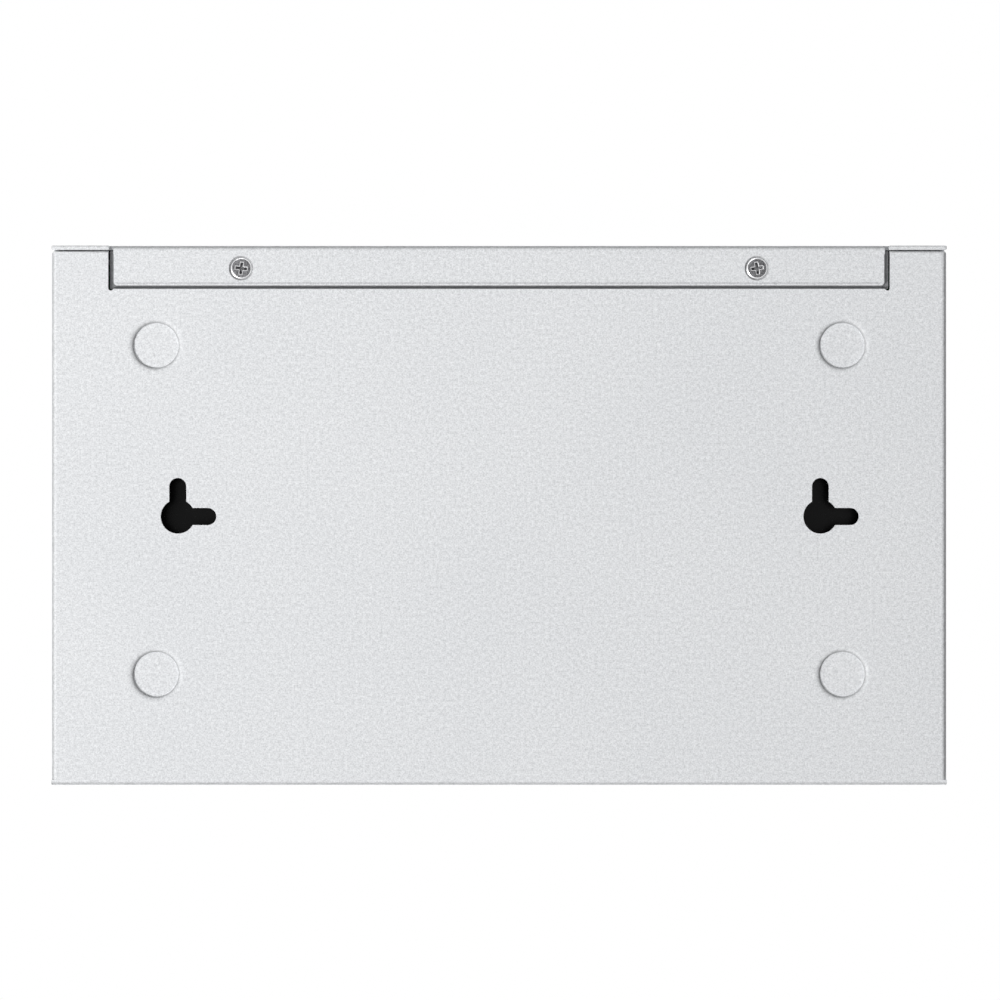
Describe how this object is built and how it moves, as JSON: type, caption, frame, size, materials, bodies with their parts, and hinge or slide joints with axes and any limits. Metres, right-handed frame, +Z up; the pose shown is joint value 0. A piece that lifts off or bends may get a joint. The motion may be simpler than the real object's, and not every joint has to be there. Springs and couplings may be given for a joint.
{
  "type": "power over ethernet switch",
  "caption": "Low folded-steel network switch with modular jacks along the front, a power inlet at the rear and keyholes underneath for hanging it on a wall.",
  "frame": {"origin": "centre of the underside's outline, on the underside", "axes": "+Z up; -Y towards the ports; +Y towards the power inlet; +X to the right seen from the ports"},
  "size_m": [0.209, 0.126, 0.026],
  "materials": {
    "painted_steel": "fine textured powder coat, light grey",
    "plated_steel": "bright zinc plate",
    "black_film": "matt black film",
    "circuit_board": "green solder mask",
    "black_plastic": "moulded, fine texture",
    "tinned_steel": "bright tin plate",
    "gold_contact": "gold flash",
    "clear_plastic": "clear, polished",
    "led_plastic": "cast resin",
    "chip_plastic": "moulded",
    "aluminium": "as extruded",
    "grey_rubber": "soft pad"
  },
  "bodies": {
    "root": {"base_tray": "painted_steel", "top_cover": "painted_steel", "cover_screws": "plated_steel", "insulating_film": "black_film", "main_board": "circuit_board", "board_standoffs": "plated_steel", "board_screws": "plated_steel", "light_guide": "clear_plastic", "indicator_leds": "led_plastic", "dc_inlet_housing": "black_plastic", "dc_inlet_pin": "tinned_steel", "dc_inlet_spring": "tinned_steel", "poe_jack_1_housing": "black_plastic", "poe_jack_1_shield": "tinned_steel", "poe_jack_1_contacts": "gold_contact", "poe_jack_2_housing": "black_plastic", "poe_jack_2_shield": "tinned_steel", "poe_jack_2_contacts": "gold_contact", "uplink_jack_housing": "black_plastic", "uplink_jack_shield": "tinned_steel", "uplink_jack_contacts": "gold_contact", "line_transformer_01": "chip_plastic", "line_transformer_02": "chip_plastic", "line_transformer_03": "chip_plastic", "line_transformer_04": "chip_plastic", "line_transformer_05": "chip_plastic", "line_transformer_06": "chip_plastic", "line_transformer_07": "chip_plastic", "line_transformer_08": "chip_plastic", "line_transformer_09": "chip_plastic", "line_transformer_10": "chip_plastic", "port_transistor_1": "chip_plastic", "port_transistor_2": "chip_plastic", "port_transistor_3": "chip_plastic", "port_transistor_4": "chip_plastic", "port_transistor_5": "chip_plastic", "port_transistor_6": "chip_plastic", "port_transistor_7": "chip_plastic", "port_transistor_8": "chip_plastic", "bulk_capacitor_1": "aluminium", "power_inductor_1": "chip_plastic", "poe_controller_1": "chip_plastic", "bulk_capacitor_2": "aluminium", "power_inductor_2": "chip_plastic", "poe_controller_2": "chip_plastic", "converter_chip": "chip_plastic", "input_choke": "chip_plastic", "input_fuse": "chip_plastic", "switch_chip": "chip_plastic", "flash_memory": "chip_plastic", "thermal_pad": "grey_rubber", "switch_heat_sink": "aluminium", "crystal": "tinned_steel"}
  },
  "joints": []
}
